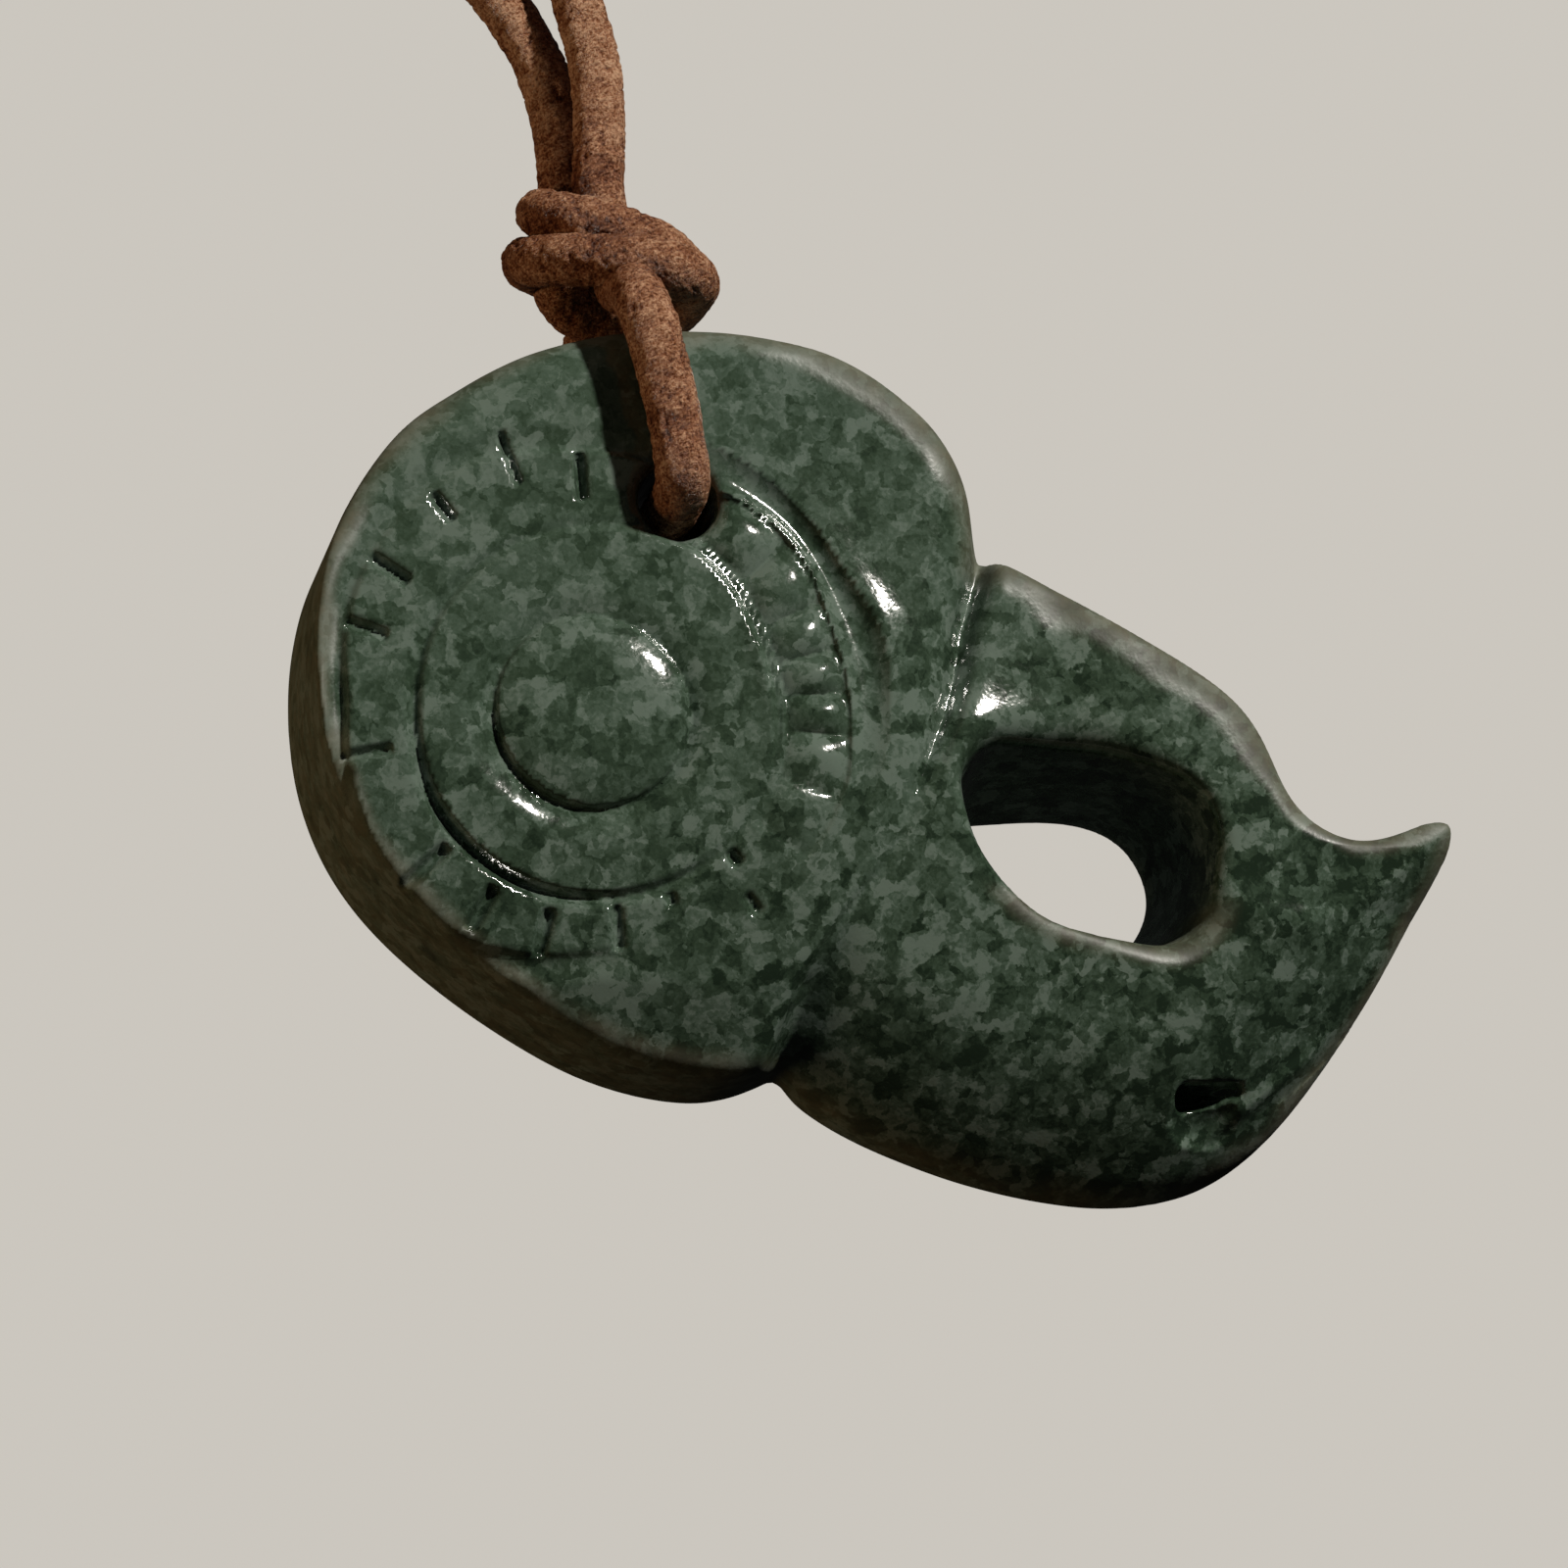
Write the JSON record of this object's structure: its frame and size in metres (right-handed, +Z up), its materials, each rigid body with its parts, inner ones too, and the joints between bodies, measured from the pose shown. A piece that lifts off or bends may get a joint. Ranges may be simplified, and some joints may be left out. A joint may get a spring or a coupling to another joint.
{
  "type": "jade macaw head pendant on a leather cord",
  "caption": "Carved polished jade pendant shaped as a macaw's head with a ringed eye and a pierced beak, hanging from a knotted leather neck cord.",
  "frame": {"origin": "middle of the nape tie, where the cord rests at the back of the neck", "axes": "+Z up, the carved face looks along -Y, +X to the beak's side"},
  "size_m": [0.139, 0.0154, 0.1795],
  "materials": {
    "jade": "polished",
    "cord": "rough"
  },
  "bodies": {
    "cord": {"cord_tie": "cord", "cord_left": "cord", "cord_right": "cord", "cord_knot": "cord", "cord_bight": "cord"},
    "pendant": {"pendant": "jade"}
  },
  "joints": [
    {"name": "pendant_swing", "type": "hinge", "parent": "cord", "child": "pendant", "pos_m": [0, 0, -0.143], "axis": [0, 1, 0], "range_deg": [-28, 25]}
  ]
}
